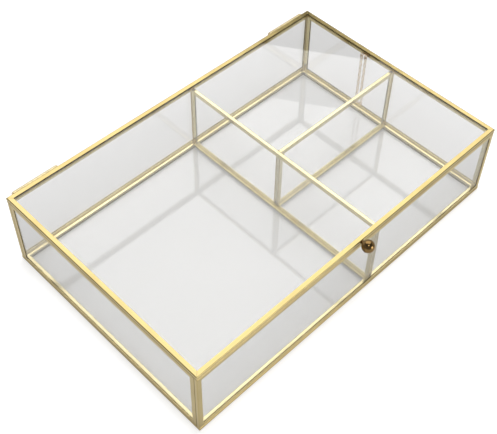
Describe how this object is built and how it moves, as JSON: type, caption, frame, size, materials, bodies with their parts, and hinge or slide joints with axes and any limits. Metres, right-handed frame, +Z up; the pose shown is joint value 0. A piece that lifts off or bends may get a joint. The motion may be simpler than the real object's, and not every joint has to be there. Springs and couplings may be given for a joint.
{
  "type": "glass casket box",
  "caption": "Flat casket box of clear glass panes bound in folded brass channel, with fixed dividers, a hinged glass lid, a ball knob and a lid-stay chain.",
  "frame": {"origin": "on the plane that the casket stands on, under the middle of its whole outline, knob and hinges included", "axes": "+X to the right along the long front edge, -Y towards the front with the knob, +Z up"},
  "size_m": [0.27, 0.1864, 0.064],
  "materials": {
    "glass": "clear float glass, polished faces, pale green at the cut edges",
    "brass_channel": "pale lacquered brass, lightly brushed along its length",
    "hinge_brass": "drawn brass tube and rod, slightly dull",
    "solder": "brass-plated solder, smooth and slightly uneven",
    "knob_brass": "polished antique brass, dark",
    "chain_brass": "fine brass chain wire, bright"
  },
  "bodies": {
    "case": {"base_glass": "glass", "base_front_rail": "brass_channel", "base_back_rail": "brass_channel", "base_left_rail": "brass_channel", "base_right_rail": "brass_channel", "front_wall_glass": "glass", "front_wall_bottom_rail": "brass_channel", "front_wall_top_rail": "brass_channel", "front_wall_left_rail": "brass_channel", "front_wall_right_rail": "brass_channel", "back_wall_glass": "glass", "back_wall_bottom_rail": "brass_channel", "back_wall_top_rail": "brass_channel", "back_wall_left_rail": "brass_channel", "back_wall_right_rail": "brass_channel", "left_wall_glass": "glass", "left_wall_bottom_rail": "brass_channel", "left_wall_top_rail": "brass_channel", "left_wall_front_rail": "brass_channel", "left_wall_back_rail": "brass_channel", "right_wall_glass": "glass", "right_wall_bottom_rail": "brass_channel", "right_wall_top_rail": "brass_channel", "right_wall_front_rail": "brass_channel", "right_wall_back_rail": "brass_channel", "long_divider_glass": "glass", "long_divider_bottom_rail": "brass_channel", "long_divider_top_rail": "brass_channel", "long_divider_front_rail": "brass_channel", "long_divider_back_rail": "brass_channel", "short_divider_glass": "glass", "short_divider_bottom_rail": "brass_channel", "short_divider_top_rail": "brass_channel", "short_divider_left_rail": "brass_channel", "short_divider_right_rail": "brass_channel", "corner_solder": "solder", "divider_solder": "solder", "case_hinge_tubes": "hinge_brass", "hinge_rods": "hinge_brass", "wall_chain_ring": "chain_brass"},
    "lid": {"lid_glass": "glass", "lid_front_rail": "brass_channel", "lid_back_rail": "brass_channel", "lid_left_rail": "brass_channel", "lid_right_rail": "brass_channel", "lid_hinge_tubes": "hinge_brass", "knob_ball": "knob_brass", "knob_stem": "knob_brass", "lid_chain_ring": "chain_brass"},
    "wall_strand": {"wall_chain_links": "chain_brass"},
    "lid_strand": {"lid_chain_links": "chain_brass"},
    "connector": {"chain_connector": "chain_brass"}
  },
  "joints": [
    {"name": "lid_hinge", "type": "hinge", "parent": "case", "child": "lid", "pos_m": [0, 0.09175, 0.0584], "axis": [-1, 0, 0], "range_deg": [0, 96]},
    {"name": "wall_strand_swing", "type": "hinge", "parent": "case", "child": "wall_strand", "pos_m": [0.1305, 0.03075, 0.05475], "axis": [1, 0, 0], "range_deg": [0, 137]},
    {"name": "connector_swing", "type": "hinge", "parent": "wall_strand", "child": "connector", "pos_m": [0.1305, 0.03075, 0.0097], "axis": [1, 0, 0], "range_deg": [0, 90]},
    {"name": "lid_strand_swing", "type": "hinge", "parent": "lid", "child": "lid_strand", "pos_m": [0.1305, 0.02705, 0.05475], "axis": [1, 0, 0], "range_deg": [0, 53]}
  ],
  "couplings": [
    {"joint": "wall_strand_swing", "follows": "lid_hinge", "ratio": 1.4239},
    {"joint": "connector_swing", "follows": "lid_hinge", "ratio": 0.93679},
    {"joint": "lid_strand_swing", "follows": "lid_hinge", "ratio": 0.5503}
  ]
}
